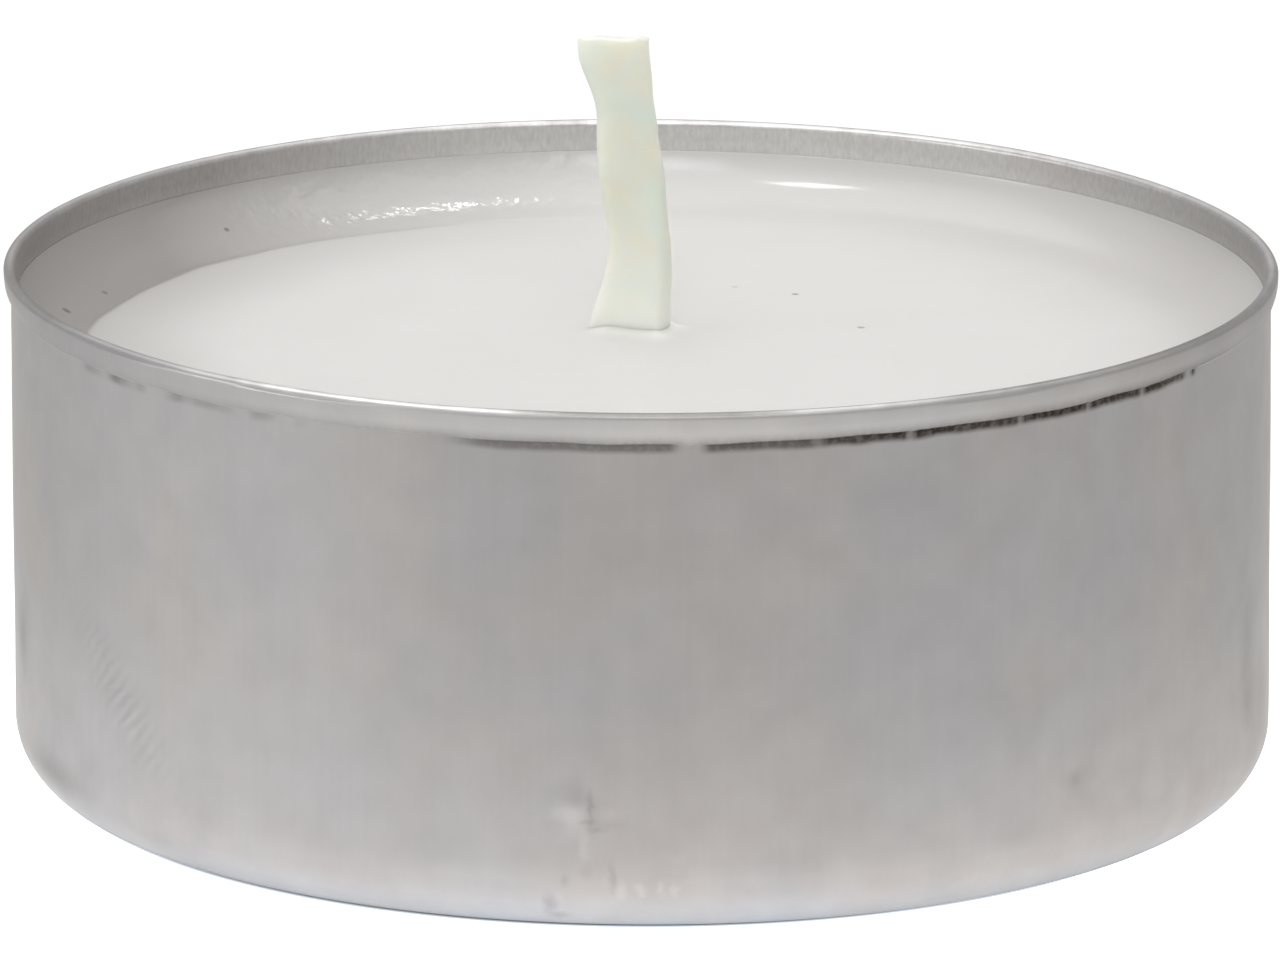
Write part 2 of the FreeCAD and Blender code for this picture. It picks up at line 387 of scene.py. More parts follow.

# %% [markdown]
# ## Shade and dirt under the fold
# A broken dark line runs just under the fold's raw edge: painted shadow under the edge, which stands off
# the wall, with the lubricant and black dust that the press leaves where the edge rubs on the wall. Its
# strength is given at a few angles in degrees, 0 for clean, 1 for black.

# %% Shade and dirt under the fold
SHADOW_AND_GRIME = [
    (-180, 0), (-62, 0), (-58, 0.3), (-36, 0.25), (-30, 0), (-18, 0), (-14, 0.55), (2.5, 0.65), (3.6, 0),
    (5.2, 0), (6.2, 0.75), (15, 0.8), (15.8, 0.5), (16.6, 0.9), (24, 1), (24.5, 0.35), (25.2, 1),
    (35.5, 0.95), (35.9, 0.4), (36.4, 1), (43.5, 1), (43.9, 0.4), (44.4, 1), (50.7, 0.95), (51.2, 0.4),
    (51.8, 1), (57.6, 0.9), (58.4, 0.2), (59.0, 0.2), (59.5, 1), (60.2, 0.1), (62, 0), (180, 0),
]
DARK_LINE_BELOW = 0.23  # how far under the raw edge the line starts
DARK_LINE_FADE = (0.13, 0.08)  # it fades in over that much below and above its start
PATCHY_BEFORE = -30  # degrees; further left the line is patchy

# strength of the dark line round the cup: painted shadow under the raw edge, with dirt
shadow_and_grime = around_cup(SHADOW_AND_GRIME)
patches = 0.6 + 0.6 * waves(turn, 0, seed=13, longest=2, shortest=0.7)
shadow_and_grime = np.clip(shadow_and_grime * np.where(degrees < PATCHY_BEFORE, patches, 1), 0, 1)
line_height = DARK_LINE_BELOW + 0.02 * waves(turn, 0, seed=12, longest=6, shortest=1)
line_start = edge_line - line_height
soil = shadow_and_grime * step(cup_heights, line_start - DARK_LINE_FADE[0], line_start + DARK_LINE_FADE[1])
soil[:rows["wall"].start] = 0
print("dark line on", round(100 * float((shadow_and_grime > 0.3).mean())), "per cent of the way round")

# %% [markdown]
# ## Painted shade on the fold
# The lower half of the fold's face gets painted shade, darker towards the raw edge where the face curls
# under. The crest gets painted shade at the front, and a painted dark line on its inner side where it
# mirrors the dark inner wall. The face starts with the raw edge's last ring, which looks outwards.

# %% Painted shade on the fold and the crest
FACE_SHADE = [(-180, 0.05), (-70, 0.1), (-44, 0.25), (-16, 0.5), (0, 0.58), (58, 0.6), (75, 0.15), (180, 0.05)]
FACE_SHADE_SHARE = 0.52  # share of the face's height that gets painted shade
CREST_TOP_SHADE = [(-180, 0), (-14, 0), (-10, 0.3), (11, 0.3), (15, 0), (180, 0)]
CREST_INNER_SHADE = [
    (-90, 0), (-84, 0.5), (-66, 0.5), (-58, 0), (22, 0), (34, 0.5), (62, 0.55), (82, 0.35), (90, 0),
]

fold_rows = slice(rows["face"].start - 1, rows["face"].stop - 1)
crest_rows = slice(fold_rows.stop, fold_rows.stop + len(crest_angle))
over_crest = np.degrees(crest_angle)
crest_share = step(over_crest, 20, 65)
soil[fold_rows.start:] = 0
# painted shade: the face darkens towards its raw edge
soil[fold_rows] = around_cup(FACE_SHADE) * np.clip(1 - raised / FACE_SHADE_SHARE, 0, 1) ** 1.15
# painted shade on the crest's front, and a painted dark reflection on its inner side
soil[crest_rows] = around_cup(CREST_TOP_SHADE) * crest_share
soil[crest_rows] += around_cup(CREST_INNER_SHADE) * step(over_crest, 55, 85)
print("fold and crest:", fold_rows, crest_rows)

# %% [markdown]
# ## Smudges and the line at the foot
# Grey smudges sit near both sides of the wall and low on the left. A thin dark line is painted round the
# base corner: a painted reflection of the shadow under the cup. It is strongest at the sides.

# %% Smudges and the line at the foot
SMUDGES = [  # degrees, height, width, tallness, strength
    (-79, 5.2, 0.8, 1.1, 0.32), (73, 5.2, 0.8, 1.8, 0.30), (74, 3.6, 0.7, 0.6, 0.15),
    (80, 3.2, 1.5, 1.0, 0.15), (-68, 1.8, 2.0, 0.5, 0.36), (-50, 1.1, 1.2, 0.3, 0.14),
    (42.4, 3.6, 0.24, 0.24, 0.15),
]
FOOT_ROWS = 10  # rings of the corner that the line can lie on
LINE_ROWS = 1.3  # how many rings wide the line is

outside = slice(rows["corner"].start, rows["wall"].stop)
for *where, amount in SMUDGES:
    soil[outside] += amount * spot(turn, cup_heights[outside], *where)
# painted reflection of the contact shadow, a few rings up the corner
line_row = 2.9 + 3.0 * np.sin(turn) ** 2
painted_foot_shadow = np.exp(-((np.arange(FOOT_ROWS)[:, None] - line_row) / LINE_ROWS) ** 2)
foot_rows = slice(rows["corner"].start, rows["corner"].start + FOOT_ROWS)
soil[foot_rows] += painted_foot_shadow * (0.40 + 0.45 * np.abs(np.sin(turn)))
paint(cup, "soil", soil)

# %% [markdown]
# ## Painted light, rippled and scuffed metal
# The metal is painted paler where it faces the light: inside the cup at the back, on the front of the fold
# and on the sides of the wall, with painted glints on parts of the crest. Two more numbers mark the wall's
# slanting ripples and the band of the rim that is scuffed.

# %% Painted light, rippled and scuffed metal
INNER_LIGHT = [
    (-180, 0.9), (-165, 0.8), (-135, 0.05), (-100, 0.1), (-60, 0.2), (0, 0.3), (60, 0.25), (100, 0.2),
    (135, 0.4), (165, 0.95), (180, 0.9),
]
FOLD_LIGHT = [(-180, 0.1), (-60, 0.02), (-20, 0.3), (0, 0.38), (20, 0.3), (60, 0.02), (180, 0.1)]
CREST_GLINT = [
    (-180, 1), (-100, 0.1), (-50, 0.2), (-33, 1), (-12, 1), (-6, 0.1), (8, 0.1), (14, 0.7), (40, 0.5),
    (60, 0.1), (180, 1),
]
WALL_LIGHT = [
    (-180, 0.1), (-90, 0.10), (-30, 0.11), (-12, 0), (50, 0.02), (75, 0.10), (90, 0.20), (180, 0.1),
]
BAND_HEIGHT = 5.2
BAND_REACH = 1.9
SCUFFED_ROWS = (3, 6)  # rings of the crest, and rings below it on the inside

# painted light by angle inside the cup, a little paler still up to the film's top
burnish = around_cup(INNER_LIGHT) + 0.15 * (1 - step(cup_heights, FILM_TOP, FILM_TOP + 0.35))
burnish[:rows["wall"].start] = 0
burnish[rows["wall"]] = around_cup(WALL_LIGHT) * step(wall_heights, 2, 6)
fold_light = around_cup(FOLD_LIGHT)
crest_glint = around_cup(CREST_GLINT) * (0.8 + 0.2 * waves(turn, 0, seed=14, longest=3, shortest=0.6))
burnish[fold_rows] = fold_light
burnish[crest_rows] = fold_light * (1 - crest_share) + crest_glint * crest_share
paint(cup, "burnish", burnish)

diagonal = degrees + 59 - (6.8 - cup_heights) * 2.8
paint(cup, "rippled", np.exp(-(diagonal / 3) ** 2 - ((cup_heights - BAND_HEIGHT) / BAND_REACH) ** 2))

scuffed = np.zeros_like(cup_heights)
scuffed[crest_rows.stop - SCUFFED_ROWS[0]:crest_rows.stop + SCUFFED_ROWS[1]] = 1
paint(cup, "scuffed", scuffed)

# %% [markdown]
# ## The wax
# Paraffin wax shrinks as it sets. It holds on to the wall where it first touched it and sinks in the
# middle, which leaves a hollow curve round the edge and a small collar round the wick. The collar
# follows the wick's outline, a small turned rectangle.

# %% Where the wick stands
WAX_LEVEL = 13.4
WICK_EXIT = (-0.1, 2.0)
WICK_TWIST = math.radians(-23)
WICK_HALF_WIDTH = 0.80
WICK_HALF_DEPTH = 0.55


def from_wick(x, y):
    """Distance from the wick's outline at the wax, in millimetres, less than zero inside."""
    dx, dy = x - WICK_EXIT[0], y - WICK_EXIT[1]
    along = np.abs(dx * math.cos(WICK_TWIST) + dy * math.sin(WICK_TWIST)) - WICK_HALF_WIDTH
    across = np.abs(dy * math.cos(WICK_TWIST) - dx * math.sin(WICK_TWIST)) - WICK_HALF_DEPTH
    outside = np.hypot(np.maximum(along, 0), np.maximum(across, 0))
    return outside + np.minimum(np.maximum(along, across), 0)


print("axis to wick:", round(float(from_wick(0, 0)), 2), "mm")

# %% [markdown]
# ## The wax's surface
# On the left the curve at the wall meets the level part in a crisp line; on the right it runs out
# softly. One function gives the height at any place, as the sum of the climb at the wall, the dish left
# by shrinking, the unevenness and the collar.

# %% Height of the wax surface
SOFT_START = 15.6  # radius at which the soft curve starts to climb
CRISP_START = 16.55
WAX_RADIUS = INNER_RADIUS - 0.008
CLIMB_SHAPE = 0.97  # nearer to 1 makes the curve steeper at the wall
DISH = 0.10
UNEVEN = 0.012
FINE_UNEVEN = 0.004
COLLAR_HEIGHT = 0.30
COLLAR_REACH = 1.2


def crease_radius(angle):
    """Where the level wax starts to climb. The line wanders, and runs nearest the wall at one place."""
    wander = 0.05 * waves(angle, 0, seed=21, longest=12, shortest=2)
    return CRISP_START + wander + 0.30 * spot(angle, 0, -94, 0, 3.0, 1)


def wax_height(radius, angle):
    """Height of the wax in millimetres, at a distance from the axis and an angle round the cup."""
    x, y = radius * np.sin(angle), -radius * np.cos(angle)
    left = facing(angle, -112, 80)
    foot = crease_radius(angle) * left + SOFT_START * (1 - left)
    share = np.clip((radius - foot) / (WAX_RADIUS - foot), 0, 1)
    soft = 1 - np.sqrt(1 - (CLIMB_SHAPE * share ** 1.35) ** 2)
    soft = soft / (1 - math.sqrt(1 - CLIMB_SHAPE ** 2))
    crisp = 0.45 * share + 0.55 * share ** 3
    climb = (FILM_TOP - WAX_LEVEL) * (soft * (1 - left) + crisp * left)
    dish = DISH * (radius / foot) ** 4 * (1 - step(share, 0, 1))
    uneven = UNEVEN * waves(x / WALL_RADIUS, y, seed=22, longest=12, shortest=4)
    uneven += FINE_UNEVEN * waves(x / WALL_RADIUS, y, seed=23, longest=3, shortest=1.2, count=40)
    apart = np.clip(from_wick(x, y) / COLLAR_REACH, 0, 1)
    collar = COLLAR_HEIGHT * (1 - apart) ** 2.3
    return WAX_LEVEL - 0.06 + dish + climb + (uneven + collar) * (1 - share)


print("wax at the crease:", wax_height(CRISP_START, math.radians(-90)).round(3), "mm high")

# %% [markdown]
# ## From heights to the pour
# A polar grid suits the surface: its rings lie close together at the wall and the wick, and wide apart
# where it is level. A few plain rings below it follow the cup's inside, so that the wax is closed.

# %% Turn it into the pour
WAX_FLOOR = 0.66
last_rings = WAX_RADIUS - 0.3 * np.array([0.7, 0.45, 0.25, 0.12, 0.04, 0])
spread = np.concatenate([
    np.linspace(0.15, 4.2, 36), np.linspace(4.5, 15.8, 30), np.linspace(16.0, 18.5, 30), last_rings,
])
spread = spread[::-1][:, None] * np.ones((1, SEGMENTS))
surface = wax_height(spread, turn)
buried = [(7, WAX_FLOOR), (13.7, WAX_FLOOR), (14.9, 0.2), (FOOT_LINE + 0.3, 0.45)]
buried += [(WAX_RADIUS, CORNER_RADIUS + 0.1), (WAX_RADIUS, 9.0), (WAX_RADIUS, 14.6)]
wax_radii, wax_heights = (np.vstack(parts) for parts in zip(plain_rings(buried), (spread, surface)))
wax_middle = (0, 0, float(surface[-1].mean()))
wax = ring_mesh("poured_wax", rings_of(wax_radii, wax_heights), (0, 0, WAX_FLOOR), wax_middle)

# %% [markdown]
# ## What the wax's material needs to know
# Thin wax on the wall lets the grey metal show, and the wax also gets painted shade towards the wall, most
# on the left, with a painted dark line along the crease. Another number says where the wax is only a film.
# The film at the back is glossy, with tiny beads on its left part. Close round the wick the wax is painted
# lighter and a little green: painted light and a painted reflection of the wick, against the shade at its
# foot.

# %% Paint the wax
LEFT_SHADE = [(-180, 0), (-160, 0.3), (-140, 0.6), (-120, 1), (-60, 1), (0, 0)]
RIGHT_SHADE = [(0, 0), (60, 0.29), (110, 0.35), (150, 0.12), (180, 0)]
GLOSSY_SIDE = (-176, 75)  # degrees faced, and the spread
BEADED_SIDE = (-155, 34)
WICK_LIGHT_REACH = 0.45

crease = crease_radius(turn)
crisp_film = step(wax_radii, crease - 0.20, crease + 0.15)
soft_film = step(wax_radii, SOFT_START, 18.0)
leftward = around_cup(LEFT_SHADE)
rightward = around_cup(RIGHT_SHADE)
# painted shade towards the wall, most on the left; part of it is the grey metal under thin wax
shade = leftward * (0.45 * step(wax_radii, 11.5, 16.7) + 0.50 * crisp_film)
shade = shade + rightward * (0.36 * step(wax_radii, 12.0, 16.8) + 0.70 * step(wax_radii, 15.0, 18.4))
shade = shade + 0.12 * soft_film + leftward * 0.2 * step(wax_heights, FILM_TOP - 0.5, FILM_TOP)
# a painted dark line along the crease
shade = shade + 0.25 * leftward * np.exp(-((wax_radii - crease) / 0.10) ** 2)
paint(wax, "shade", np.clip(shade, 0, 1.2))
paint(wax, "film", soft_film)
paint(wax, "gloss", step(wax_radii, 16.8, 18.0) * facing(turn, *GLOSSY_SIDE))
paint(wax, "beaded", facing(turn, *BEADED_SIDE) * soft_film)
# painted light and a painted reflection of the wick, round its foot
off_wick = np.maximum(from_wick(wax_radii * np.sin(turn), -wax_radii * np.cos(turn)), 0)
paint(wax, "tint", np.exp(-(off_wick / WICK_LIGHT_REACH) ** 2))

# %% [markdown]
# ## The wick
# The wick is a flat cotton braid, dipped in wax until its strands nearly disappear. It was bent over in
# the packet and now leans to the left, with its cut end fraying open. A smooth curve runs through its
# left and right edges as seen from the front. Near the wax it is twisted, so that a narrow side shows.

# %% Shape of the wick
HEIGHTS = [13.0, 14.2, 15.0, 16.0, 17.5, 19.0, 20.5, 21.2, 21.7, 22.2]
LEFT = [-1.80, -1.46, -1.23, -1.12, -1.28, -1.34, -1.43, -1.68, -1.90, -1.95]
RIGHT = [0.99, 0.99, 1.03, 1.03, 0.85, 0.57, 0.38, 0.31, 0.25, 0.21]
WICK_FRONT = 1.42  # how far behind the axis its front face stands
NECK_TOP = 3.65  # of the steel neck that holds the wick


def smooth(at, heights, values):
    """A smooth curve through a few values, worked out at many heights."""
    heights, values = np.array(heights), np.array(values)
    slopes = np.gradient(values, heights)
    start = np.clip(np.searchsorted(heights, at, side="right") - 1, 0, len(heights) - 2)
    gap = heights[start + 1] - heights[start]
    s = np.clip((at - heights[start]) / gap, 0, 1)
    first = (1 + 2 * s) * (1 - s) ** 2 * values[start] + s * (1 - s) ** 2 * gap * slopes[start]
    return first + s * s * (3 - 2 * s) * values[start + 1] + s * s * (s - 1) * gap * slopes[start + 1]


print("wick width at the wax and the cut:", round(RIGHT[0] - LEFT[0], 2), round(RIGHT[-1] - LEFT[-1], 2))

# %% [markdown]
# ## The braid's body
# Each ring of the wick is a rounded rectangle: a circle's sine and cosine raised to a power below 1. It
# is as wide as the outline asks, also where it is twisted. Below the wax the braid runs to the axis.

# %% Rings of the wick
ROUND = 112  # points in each ring
SUNK_HALF_WIDTH = 0.90
WICK_FOOT_RISE = 0.02
CUT_BELOW_TOP = 0.1

girth = np.linspace(-math.pi, math.pi, ROUND, endpoint=False)
hidden_run = np.linspace(WICK_FOOT + WICK_FOOT_RISE, 12.8, 20)
shown_run = np.linspace(13.0, WICK_TOP - CUT_BELOW_TOP, 150)
run = np.concatenate([hidden_run, shown_run])[:, None]
sunk = 1 - step(run, NECK_TOP, WAX_LEVEL)
left_edge = smooth(run, HEIGHTS, LEFT)
right_edge = smooth(run, HEIGHTS, RIGHT)
twist = WICK_TWIST * (1 - step(run, 16.4, 18.6)) * (1 - sunk)
half_depth = 0.62 - 0.07 * (1 - step(run, 16.0, 18.5)) * (1 - sunk)
reach = (right_edge - left_edge) / 2
half_width = (reach - half_depth * np.abs(np.sin(twist))) / np.cos(twist)
half_width = half_width * (1 - sunk) + SUNK_HALF_WIDTH * sunk
middle_x = (left_edge + right_edge) / 2 * (1 - sunk)
middle_y = (WICK_FRONT + half_depth) * (1 - sunk)

power = 2 / (3.2 + 2.2 * step(run, 17, 14))
side = np.sign(np.cos(girth)) * np.abs(np.cos(girth)) ** power * half_width
face = np.sign(np.sin(girth)) * np.abs(np.sin(girth)) ** power * half_depth
print("half width from", half_width.min().round(2), "to", half_width.max().round(2), "mm")

# %% [markdown]
# ## Strands and the cut end
# A braid's strands cross on the slant and dive under each other, which leaves rows of small oval humps
# that lean one way on the left half and the other way on the right. Wax fills most of the relief, so
# the humps stand out by only a few hundredths of a millimetre, and the rest is colour in the material.
# The cut slopes, and the last rings shrink towards its middle with small tufts.

# %% Braid relief
STRAND_PITCH = 1.15
STRAND_LEAN = 0.55
HUMP_SHARE = 0.014
LUMP_SHARE = 0.010
LUMP_COUNT = 30

across = side / half_width
lean = np.abs(across) * STRAND_LEAN * np.where(face < 0, 1, -1)
humps = np.cos(2 * math.pi * (run / STRAND_PITCH + lean)) * np.cos(1.5 * math.pi * across)
random = np.random.default_rng(31)
lumps = np.zeros_like(side)
for _ in range(LUMP_COUNT):
    k, m = random.uniform(0.5, 5), random.integers(1, 5)
    lumps += np.cos(k * run + m * girth + random.uniform(0, 2 * math.pi)) / math.sqrt(LUMP_COUNT)
swell = 1 + (HUMP_SHARE * humps + LUMP_SHARE * lumps) * (1 - sunk)
side, face = side * swell, face * swell
print("swell from", swell.min().round(3), "to", swell.max().round(3))

# %% The cut end
CUT_SLOPE = -0.20  # millimetres up for each one to the back
END_RINGS = [(0.93, 0.04), (0.80, 0.05), (0.62, 0.04), (0.42, 0.05), (0.2, 0.04)]  # share, lift

wick_x = middle_x + side * np.cos(twist) - face * np.sin(twist)
wick_y = middle_y + side * np.sin(twist) + face * np.cos(twist)
cut = 0.36 + CUT_SLOPE * (wick_y - WICK_FRONT) + 0.03 * np.cos(3 * girth + 1) + 0.03 * np.cos(7 * girth)
wick_z = run + 0 * girth + cut * step(run, 21.2, WICK_TOP - CUT_BELOW_TOP)
wick_rings = np.stack([wick_x, wick_y, wick_z], axis=-1)

top_middle = wick_rings[-1].mean(axis=0)
caps = []
for share, lift in END_RINGS:
    cap = top_middle + (wick_rings[-1] - top_middle) * share
    tufts = 0.030 * np.cos(5 * girth + 9 * share) + 0.025 * np.cos(9 * girth - 14 * share)
    cap[:, 2] += lift + tufts * (1 - share)
    caps.append(cap)
wick_rings = np.concatenate([wick_rings, caps])
foot_middle = (0, 0, WICK_FOOT + WICK_FOOT_RISE)
wick = ring_mesh("waxed_wick", wick_rings, foot_middle, top_middle + [0, 0, 0.04])
up_wick = wick_rings[..., 2]
# whiter near the wax, partly painted light against the shade at the foot, and whiter at the cut
paint(wick, "whitened", 0.75 * step(up_wick, 17.5, WAX_LEVEL) + 0.2 * step(up_wick, 21.3, 22.2))
print("wick reaches", up_wick.max().round(3))

# %% [markdown]
# ## Colours and nodes
# Screens show sRGB colours, but shaders work with linear light, so each hex colour passes through one
# function. A second small function adds any node to a material: it sets its settings, fills or links its
# sockets and hands back the output to carry on with.

# %% One function for colours and one for nodes
def linear(hex_colour):
    """An sRGB hex colour as linear red, green, blue and alpha."""
    channels = [int(hex_colour[i:i + 2], 16) / 255 for i in (1, 3, 5)]
    return [c / 12.92 if c <= 0.04045 else ((c + 0.055) / 1.055) ** 2.4 for c in channels] + [1]


def add(tree, kind, settings=None, sockets=None, output=None):
    """Adds a node. A socket is linked if its value is another socket, and set otherwise."""
    made = tree.nodes.new("ShaderNode" + kind)
    for name, value in (settings or {}).items():
        setattr(made, name, value)
    named = {socket.identifier: socket for socket in made.inputs}
    for name, value in (sockets or {}).items():
        if isinstance(value, bpy.types.NodeSocket):
            tree.links.new(value, named[name])
        else:
            named[name].default_value = value
    shown = [socket for socket in made.outputs if socket.enabled and output in (None, socket.name)]
    return shown[0] if shown else made


print("mid grey in linear light:", round(linear("#808080")[0], 3))

# %% [markdown]
# ## Words for the usual nodes
# A few nodes come back in every material, so each gets a short name, and a material below reads as a
# list of what happens to the surface. Pattern sizes are real ones in millimetres, turned into Blender's
# scale in one place.

# %% Short names for the usual nodes
def per_metre(size):
    """The scale of a pattern whose features are that many millimetres apart."""
    return 1 / (size * MM)


def noise(tree, place, size, detail, output=None):
    """A cloudy pattern whose features are about that many millimetres apart."""
    return add(tree, "TexNoise", {}, {"Vector": place, "Scale": per_metre(size), "Detail": detail}, output)


def painted(tree, name):
    """The number that was painted on the mesh under that name."""
    return add(tree, "Attribute", {"attribute_name": name}, output="Fac")


def blend(tree, share, first, second):
    """Two colours mixed by a share from 0 to 1. Either can be a hex colour or a socket."""
    first, second = (linear(colour) if isinstance(colour, str) else colour for colour in (first, second))
    sockets = {"Factor_Float": share, "A_Color": first, "B_Color": second}
    return add(tree, "Mix", {"data_type": "RGBA"}, sockets)


def ramp(tree, value, start, end, at_start=0.0, at_end=1.0, kind="LINEAR"):
    """A value that runs from start to end, moved to another range and held at its ends."""
    return add(tree, "MapRange", {"interpolation_type": kind}, {
        "Value": value, "From Min": start, "From Max": end, "To Min": at_start, "To Max": at_end,
    })


def combine(tree, operation, first, second, **settings):
    """One sum, product or difference of two numbers."""
    return add(tree, "Math", {"operation": operation, **settings}, {"Value": first, "Value_001": second})


def move(tree, operation, vector, by):
    """A place shifted, or stretched along x, y and z."""
    return add(tree, "VectorMath", {"operation": operation}, {"Vector": vector, "Vector_001": by})


def bump(tree, height, depth, strength=1.0, **below):
    """A relief of that many millimetres, over another one if that is given as Normal."""
    return add(tree, "Bump", {}, {"Height": height, "Strength": strength, "Distance": depth * MM, **below})


def start_material(name):
    """An empty material with its node tree and the place of each point on the object, in metres."""
    material = bpy.data.materials.new(name)
    material.use_nodes = True
    material.node_tree.nodes.clear()
    return material, material.node_tree, add(material.node_tree, "TexCoord", output="Object")


def end_material(tree, sockets):
    """One Principled shader with these sockets, shown as the surface."""
    add(tree, "OutputMaterial", {}, {"Surface": add(tree, "BsdfPrincipled", {}, sockets)})


# %% [markdown]
# ## Drawn aluminium: its tone
# The cup is soft aluminium foil stock, about 0.15 mm thick, rolled and then drawn through a die. The
# metal is dull: its grey is a little warm where wax has touched it and a little blue where it is clean.
# The die leaves faint upright streaks, and the rim has fine scuffs. Each is a noise pattern that
# multiplies the tone by a little more or less than 1.

# %% Tone of the metal
STREAK_SPACING = 0.22
STREAK_STRETCH = (1, 1, 0.045)  # makes the streaks long and upright
CLOUD_SIZE = 6.0
SCUFF_SIZE = 0.10
SCUFF_STRETCH = (1, 1, 0.4)


def metal_colour(tree, place):
    """Cool and warm grey in clouds, made paler by the painted light."""
    warmth = ramp(tree, noise(tree, place, CLOUD_SIZE, 3), 0.38, 0.62)
    # the pale colour is the painted light and painted glints
    return blend(tree, painted(tree, "burnish"), blend(tree, warmth, "#A2A0A1", "#A5A19F"), "#D8D7D5")


def metal_tone(tree, place, upright, stains):
    """Brightness from the stains and streaks of the wall, or from the scuffs of the rim."""
    dulled = ramp(tree, stains, 0.3, 0.7, 1.015, 0.965)
    streaked = ramp(tree, noise(tree, upright, STREAK_SPACING, 3), 0.3, 0.7, 0.99, 1.01)
    scuffs = noise(tree, move(tree, "MULTIPLY", place, SCUFF_STRETCH), SCUFF_SIZE, 4)
    return add(tree, "Mix", {"data_type": "FLOAT"}, {
        "Factor_Float": painted(tree, "scuffed"),
        "A_Float": combine(tree, "MULTIPLY", dulled, streaked),
        "B_Float": ramp(tree, scuffs, 0.3, 0.7, 0.91, 1.07),
    })


# %% [markdown]
# ## Drawn aluminium: its marks
# Round the dent, the nick in the corner and the row of tiny dents, spots of painted light and shade make
# the metal brighter and darker. All are measured from a place that wobbles with a noise, so none has the
# clean outline of an ellipse. The ripples low on the left are a wave pattern, shown only where they are
# painted, and their bands also get a little painted shade.

# %% Marks and ripples
WOBBLE = 0.35
WOBBLE_SIZE = 0.3
MARK_DEPTH = 3  # how far in from the wall a mark reaches
MARK_FADE = 1.9  # a mark ends at that many times its size
DENT_LIGHT_AND_SHADE = [  # degrees, height, width, tallness, brightness
    (-6.1, 3.80, 0.45, 0.55, 1.09), (-4.3, 4.10, 0.08, 0.40, 0.86), (-4.6, 3.60, 0.20, 0.10, 0.88),
    (-3.6, 3.35, 0.22, 0.07, 0.91), (-4.9, 2.80, 0.11, 0.45, 1.08), (-6.5, 1.80, 0.09, 0.14, 0.88),
    (-4.6, 2.10, 0.14, 0.22, 0.92), (-2.3, 1.90, 0.09, 0.40, 0.88), (-1.5, 1.50, 0.12, 0.22, 1.13),
    (0.3, 1.50, 0.12, 0.20, 1.13), (1.9, 1.54, 0.12, 0.20, 1.12), (3.2, 1.50, 0.12, 0.18, 1.12),
    (-7.9, 1.00, 0.18, 0.30, 0.80), (-7.0, 0.55, 0.24, 0.12, 0.84),
]
RIPPLE_SPACING = 0.56
WAVE_PERIOD = 0.628  # a wave texture of scale 1 repeats that often along its diagonal
RIPPLE_SLANT = (-0.6, 0.8, 1)


def with_dent_light_and_shade(tree, place, tone):
    """The tone with each spot of painted light and shade worked in."""
    wobble = noise(tree, place, WOBBLE_SIZE, 2, "Color")
    bent = add(tree, "VectorMath", {"operation": "MULTIPLY_ADD"}, {
        "Vector": move(tree, "SUBTRACT", wobble, (0.5, 0.5, 0.5)),
        "Vector_001": [WOBBLE * MM] * 3, "Vector_002": place,
    })
    for at, height, width, tall, brightness in DENT_LIGHT_AND_SHADE:
        x, y = WALL_RADIUS * math.sin(math.radians(at)), -WALL_RADIUS * math.cos(math.radians(at))
        offset = move(tree, "SUBTRACT", bent, (x * MM, y * MM, height * MM))
        sizes = (per_metre(width), per_metre(MARK_DEPTH), per_metre(tall))
        stretched = move(tree, "MULTIPLY", offset, sizes)
        away = add(tree, "VectorMath", {"operation": "LENGTH"}, {"Vector": stretched}, "Value")
        mark = ramp(tree, away, 0.0, MARK_FADE, brightness, 1.0, "SMOOTHSTEP")
        tone = combine(tree, "MULTIPLY", tone, mark)
    return tone


def slanting_ripples(tree, place):
    """Waves of 0 to 1 on the slant, where the cup is painted as rippled."""
    wave = add(tree, "TexWave", {"bands_direction": "DIAGONAL"}, {
        "Vector": move(tree, "MULTIPLY", place, RIPPLE_SLANT),
        "Scale": per_metre(RIPPLE_SPACING) * WAVE_PERIOD, "Distortion": 2.5, "Detail Scale": 1.0,
    }, output="Fac")
    return combine(tree, "MULTIPLY", wave, painted(tree, "rippled"))


# %% [markdown]
# ## Drawn aluminium: the finish
# The draw lines spread reflections sideways round the wall and keep them sharper upwards, which is what
# an anisotropic highlight is. The painted dirt and shade covers the metal, so it takes away both the
# metallic look and the gloss as it gets thicker, and its brown is broken up by a fine grain.

# %% Drawn aluminium
LINE_SPACING = 0.09  # real draw lines are finer; this is as fine as the picture can show
STAIN_SIZE = 1.6
GRAIN_SIZE = 0.18


